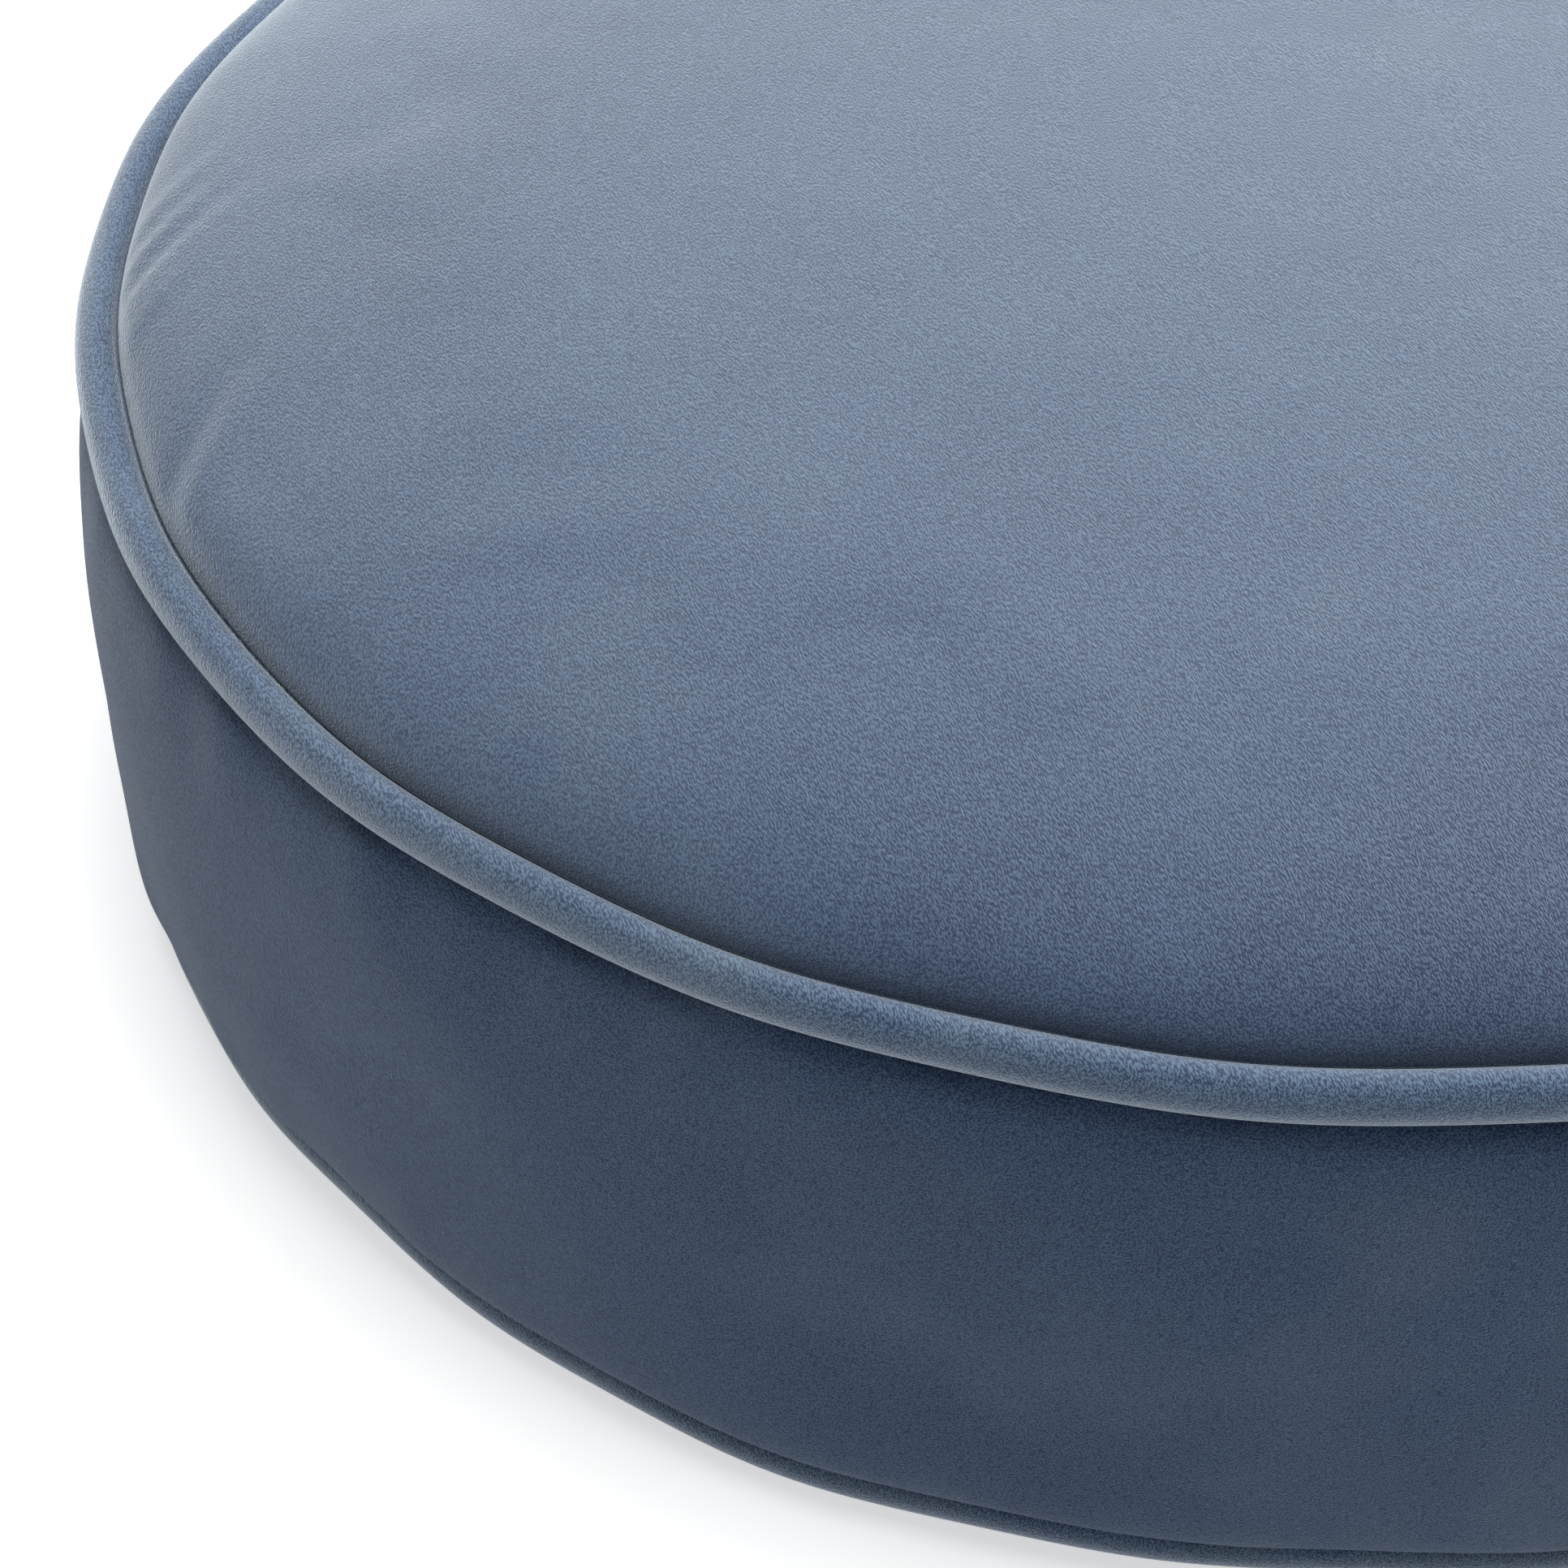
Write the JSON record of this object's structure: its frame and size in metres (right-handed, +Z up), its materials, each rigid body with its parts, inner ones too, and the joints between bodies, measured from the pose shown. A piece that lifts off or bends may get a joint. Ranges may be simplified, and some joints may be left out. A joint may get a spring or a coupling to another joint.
{
  "type": "round box seat cushion",
  "caption": "Round box cushion with a domed velvet seat, a bulging side between piped seams, and a rear zip over a wrapped foam core.",
  "frame": {"origin": "middle of the underside, on the surface that the cushion rests on", "axes": "+Z up through the seat, -Y towards the front, +Y towards the back where the zip is, +X to the right seen from the front"},
  "size_m": [0.4128, 0.4115, 0.1185],
  "materials": {
    "velvet": "short matt pile with a soft sheen at grazing angles",
    "cotton_cord": "twisted cotton",
    "foam": "open-cell foam",
    "wadding": "fluffy polyester fibre",
    "case_cloth": "thin woven lining",
    "zip_tape": "woven tape",
    "zip_coil": "satin nylon",
    "zip_metal": "dark satin plating",
    "label_satin": "satin ribbon"
  },
  "bodies": {
    "cushion": {"top_panel": "velvet", "bottom_panel": "velvet", "side_front": "velvet", "side_back_upper": "velvet", "side_back_lower": "velvet", "top_piping_cover": "velvet", "bottom_piping_cover": "velvet", "top_piping_cord": "cotton_cord", "bottom_piping_cord": "cotton_cord", "care_label": "label_satin", "foam_core": "foam", "side_wadding": "wadding", "top_wadding": "wadding", "bottom_wadding": "wadding", "inner_case_top": "case_cloth", "inner_case_bottom": "case_cloth", "zip_tape_upper": "zip_tape", "zip_tape_lower": "zip_tape", "zip_coil_upper": "zip_coil", "zip_coil_lower": "zip_coil", "zip_top_stop_upper": "zip_metal", "zip_top_stop_lower": "zip_metal", "zip_bottom_stop": "zip_metal"},
    "zip_slider": {"zip_slider": "zip_metal"},
    "zip_pull": {"zip_pull_tab": "zip_metal"}
  },
  "joints": [
    {"name": "zip_travel", "type": "hinge", "parent": "cushion", "child": "zip_slider", "pos_m": [0, 0, 0.052], "axis": [0, 0, -1], "range_deg": [0, 94.4]},
    {"name": "pull_swing", "type": "hinge", "parent": "zip_slider", "child": "zip_pull", "pos_m": [-0.15016, 0.13882, 0.052], "axis": [0, 0, 1], "range_deg": [0, 160]}
  ]
}
